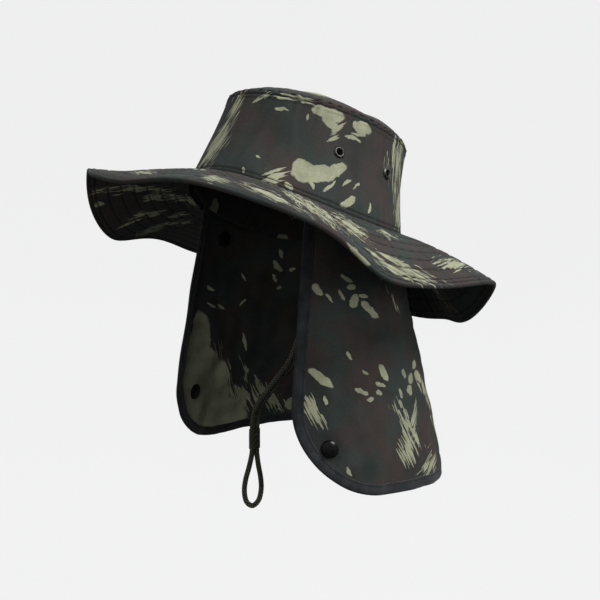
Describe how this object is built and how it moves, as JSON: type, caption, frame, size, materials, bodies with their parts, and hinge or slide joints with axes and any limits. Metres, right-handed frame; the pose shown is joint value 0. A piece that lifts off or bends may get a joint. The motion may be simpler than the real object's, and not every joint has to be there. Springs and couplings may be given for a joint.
{
  "type": "boonie hat",
  "caption": "Wide-brim cloth bush hat with vented domed crown, snap-fastened neck curtain with two side lobes, and a braided chin cord.",
  "frame": {"origin": "centre of the head opening, where the crown meets the brim", "axes": "+Z plumb up, -Y towards the wearer's front, +X towards the wearer's left; the hat leans back 14.5 degrees, so the crown's own axis tips towards +Y while curtain and cord hang plumb"},
  "size_m": [0.3331, 0.3424, 0.3525],
  "materials": {
    "camo_twill": "matte cotton twill printed in dark green, dark brown and khaki brush strokes",
    "lining_twill": "matte cotton twill, inner face",
    "stiffener": "sewn-in woven interlining",
    "binding_tape": "black bias binding",
    "cord_braid": "olive braided cord",
    "snap_black": "glossy black enamel",
    "eyelet_metal": "dark gunmetal"
  },
  "bodies": {
    "hat": {"crown_tip": "camo_twill", "crown_band": "camo_twill", "tip_seam_tape": "lining_twill", "sweatband": "lining_twill", "brim_top": "camo_twill", "brim_interlining": "stiffener", "brim_bottom": "camo_twill", "curtain_yoke": "camo_twill", "curtain_back": "camo_twill", "curtain_back_lining": "lining_twill", "curtain_back_binding": "binding_tape", "cord_anchor": "binding_tape", "eyelet_left_front": "eyelet_metal", "eyelet_washer_left_front": "eyelet_metal", "eyelet_left_rear": "eyelet_metal", "eyelet_washer_left_rear": "eyelet_metal", "eyelet_right_front": "eyelet_metal", "eyelet_washer_right_front": "eyelet_metal", "eyelet_right_rear": "eyelet_metal", "eyelet_washer_right_rear": "eyelet_metal"},
    "left_lobe_body": {"left_lobe": "camo_twill", "left_lobe_lining": "lining_twill", "left_lobe_binding": "binding_tape", "left_lower_snap_cap": "snap_black", "left_lower_snap_socket": "snap_black", "left_upper_snap_cap": "snap_black", "left_upper_snap_socket": "snap_black"},
    "right_lobe_body": {"right_lobe": "camo_twill", "right_lobe_lining": "lining_twill", "right_lobe_binding": "binding_tape", "right_lower_snap_cap": "snap_black", "right_lower_snap_socket": "snap_black", "right_upper_snap_cap": "snap_black", "right_upper_snap_socket": "snap_black"},
    "chin_cord_body": {"chin_cord": "cord_braid", "cord_keeper": "cord_braid"}
  },
  "joints": [
    {"name": "left_lobe_swing", "type": "hinge", "parent": "hat", "child": "left_lobe_body", "pos_m": [0.076, -0.00601, -0.02324], "axis": [0, -0.9681, 0.2504], "range_deg": [0, 35]},
    {"name": "right_lobe_swing", "type": "hinge", "parent": "hat", "child": "right_lobe_body", "pos_m": [-0.076, -0.00601, -0.02324], "axis": [0, 0.9681, -0.2504], "range_deg": [-6, 35]},
    {"name": "chin_cord_swing", "type": "hinge", "parent": "hat", "child": "chin_cord_body", "pos_m": [0.0668, -0.0405, -0.017], "axis": [1, 0, 0], "range_deg": [-25, 25]}
  ]
}
